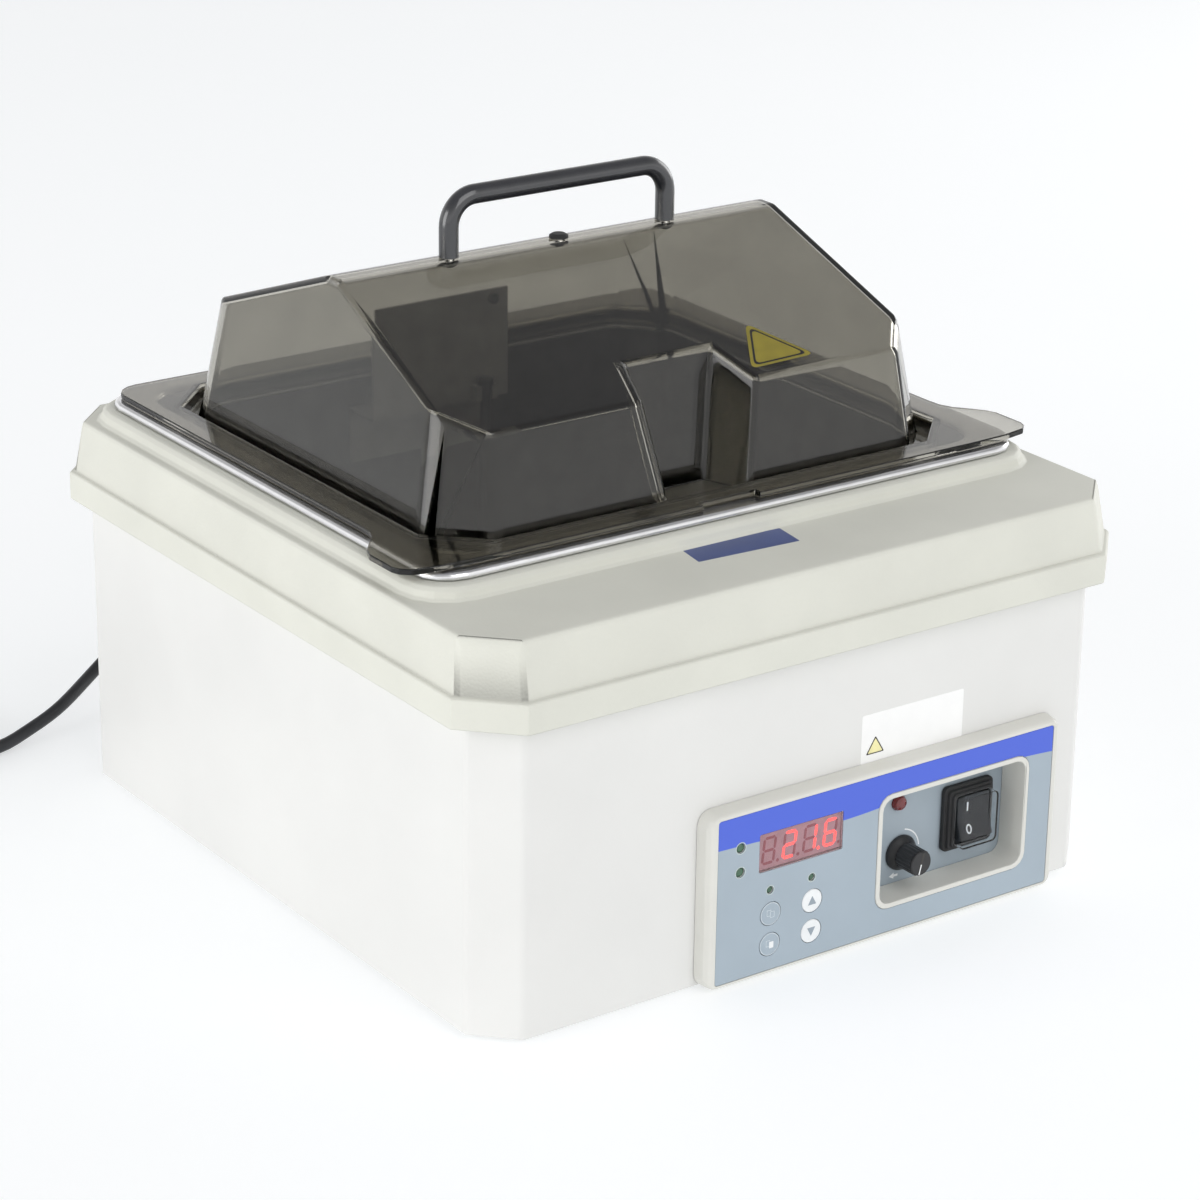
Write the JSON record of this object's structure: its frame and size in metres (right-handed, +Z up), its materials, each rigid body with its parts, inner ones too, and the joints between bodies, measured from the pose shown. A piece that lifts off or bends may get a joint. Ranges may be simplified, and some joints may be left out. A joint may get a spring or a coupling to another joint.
{
  "type": "laboratory water bath",
  "caption": "Benchtop heated water bath with a steel tank, a smoked gable lid with a bar handle, a recessed switch and limit dial, digital display and keys.",
  "frame": {"origin": "on the floor under the middle of the moulded cover", "axes": "+X right as seen from the front, +Y to the back, +Z up"},
  "size_m": [0.5162, 0.5828, 0.3451],
  "materials": {
    "lower_case": "smooth satin paint",
    "base_plate": "zinc plated",
    "foot_1": "matt",
    "foot_2": "matt",
    "foot_3": "matt",
    "foot_4": "matt",
    "top_cover": "fine grain moulding",
    "tank": "polished pressing",
    "tank_insulation": "glass fibre blanket",
    "heater_pad": "silicone",
    "heater_clamp": "zinc plated",
    "tank_support_front": "zinc plated",
    "tank_support_back": "zinc plated",
    "lid": "smoked transparent, polished",
    "lid_handle": "black gloss",
    "handle_screw_left": "zinc plated",
    "handle_screw_right": "zinc plated",
    "vent_plug": "matt",
    "probe_bracket": "brushed",
    "probe_screw": "bright",
    "probe_tube": "polished",
    "diffuser_tray": "brushed",
    "panel_bezel": "smooth",
    "panel_overlay": "printed film",
    "display_filter": "red filter",
    "display_module": "moulded",
    "control_board": "solder mask",
    "led_f": "diffused",
    "led_c": "diffused",
    "led_program": "diffused",
    "led_heat": "diffused",
    "key_up": "satin",
    "key_down": "satin",
    "key_menu": "satin",
    "key_set": "satin",
    "pocket_plate": "printed film",
    "led_safety": "dark red lens",
    "limit_thermostat": "moulded",
    "limit_nut": "zinc plated",
    "limit_shaft": "turned",
    "knob": "fine ribs",
    "limit_bulb": "drawn",
    "limit_capillary": "drawn",
    "switch_surround": "matt",
    "switch_boot": "clear, flexible",
    "switch_body": "moulded",
    "rocker": "gloss",
    "power_board": "solder mask",
    "heatsink": "extruded",
    "transformer": "laminated",
    "terminal_block": "moulded",
    "wire_harness": "sleeved",
    "strain_relief": "matt",
    "power_cord": "smooth jacket",
    "cord_coil": "smooth jacket",
    "plug_body": "moulded",
    "plug_blade_left": "bright",
    "plug_blade_right": "bright",
    "plug_ground_pin": "bright"
  },
  "bodies": {
    "housing": {"lower_case": "lower_case", "base_plate": "base_plate", "foot_1": "foot_1", "foot_2": "foot_2", "foot_3": "foot_3", "foot_4": "foot_4", "top_cover": "top_cover", "tank": "tank", "tank_insulation": "tank_insulation", "heater_pad": "heater_pad", "heater_clamp": "heater_clamp", "tank_support_front": "tank_support_front", "tank_support_back": "tank_support_back", "probe_bracket": "probe_bracket", "probe_screw": "probe_screw", "probe_tube": "probe_tube", "panel_bezel": "panel_bezel", "panel_overlay": "panel_overlay", "display_filter": "display_filter", "display_module": "display_module", "control_board": "control_board", "led_f": "led_f", "led_c": "led_c", "led_program": "led_program", "led_heat": "led_heat", "pocket_plate": "pocket_plate", "led_safety": "led_safety", "limit_thermostat": "limit_thermostat", "limit_nut": "limit_nut", "limit_bulb": "limit_bulb", "limit_capillary": "limit_capillary", "switch_surround": "switch_surround", "switch_boot": "switch_boot", "switch_body": "switch_body", "power_board": "power_board", "heatsink": "heatsink", "transformer": "transformer", "terminal_block": "terminal_block", "wire_harness": "wire_harness", "strain_relief": "strain_relief", "power_cord": "power_cord", "cord_coil": "cord_coil", "plug_body": "plug_body", "plug_blade_left": "plug_blade_left", "plug_blade_right": "plug_blade_right", "plug_ground_pin": "plug_ground_pin"},
    "lid_body": {"lid": "lid", "lid_handle": "lid_handle", "handle_screw_left": "handle_screw_left", "handle_screw_right": "handle_screw_right", "vent_plug": "vent_plug"},
    "tray_body": {"diffuser_tray": "diffuser_tray"},
    "limit_dial": {"knob": "knob", "limit_shaft": "limit_shaft"},
    "rocker_body": {"rocker": "rocker"},
    "key_up_body": {"key_up": "key_up"},
    "key_down_body": {"key_down": "key_down"},
    "key_menu_body": {"key_menu": "key_menu"},
    "key_set_body": {"key_set": "key_set"}
  },
  "joints": [
    {"name": "lid_lift", "type": "slide", "parent": "housing", "child": "lid_body", "axis": [0, 0, 1], "range_m": [0, 0.12]},
    {"name": "tray_lift", "type": "slide", "parent": "housing", "child": "tray_body", "axis": [0, 0, 1], "range_m": [0, 0.1]},
    {"name": "limit_knob_turn", "type": "hinge", "parent": "housing", "child": "limit_dial", "pos_m": [0.0628, -0.2068, 0.0352], "axis": [0, 1, 0], "range_deg": [-135, 135]},
    {"name": "power_rocker_tilt", "type": "hinge", "parent": "housing", "child": "rocker_body", "pos_m": [0.1039, -0.1909, 0.0465], "axis": [1, 0, 0], "range_deg": [0, 18]},
    {"name": "key_up_press", "type": "slide", "parent": "housing", "child": "key_up_body", "axis": [0, 1, 0], "range_m": [0, 0.0005], "stiffness_N_per_m": 800, "springref_m": -0.0003},
    {"name": "key_down_press", "type": "slide", "parent": "housing", "child": "key_down_body", "axis": [0, 1, 0], "range_m": [0, 0.0005], "stiffness_N_per_m": 800, "springref_m": -0.0003},
    {"name": "key_menu_press", "type": "slide", "parent": "housing", "child": "key_menu_body", "axis": [0, 1, 0], "range_m": [0, 0.0005], "stiffness_N_per_m": 800, "springref_m": -0.0003},
    {"name": "key_set_press", "type": "slide", "parent": "housing", "child": "key_set_body", "axis": [0, 1, 0], "range_m": [0, 0.0005], "stiffness_N_per_m": 800, "springref_m": -0.0003}
  ]
}
